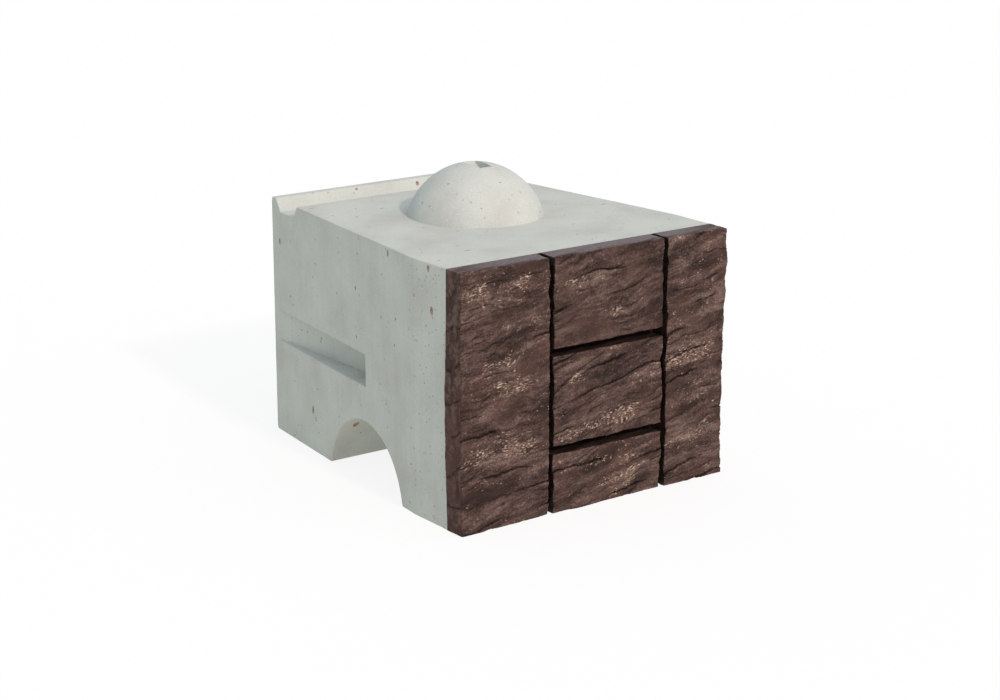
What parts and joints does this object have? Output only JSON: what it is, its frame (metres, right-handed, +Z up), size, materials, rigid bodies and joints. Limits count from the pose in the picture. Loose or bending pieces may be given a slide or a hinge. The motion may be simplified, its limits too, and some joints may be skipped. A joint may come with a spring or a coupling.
{
  "type": "wall block",
  "caption": "Tapered precast concrete retaining-wall block with a domed knob on top, an arched groove beneath, wedge pockets in its sides and a stained face patterned as jointed stones.",
  "frame": {"origin": "on the floor, under the middle of the block's bounding box", "axes": "+Z up; -Y out of the patterned face; +X to the right of someone who looks at the face"},
  "size_m": [0.576, 0.706, 0.5512],
  "materials": {
    "cast_concrete": "matte",
    "stained_face": "matte"
  },
  "bodies": {
    "root": {"wall_block": "cast_concrete"}
  },
  "joints": []
}
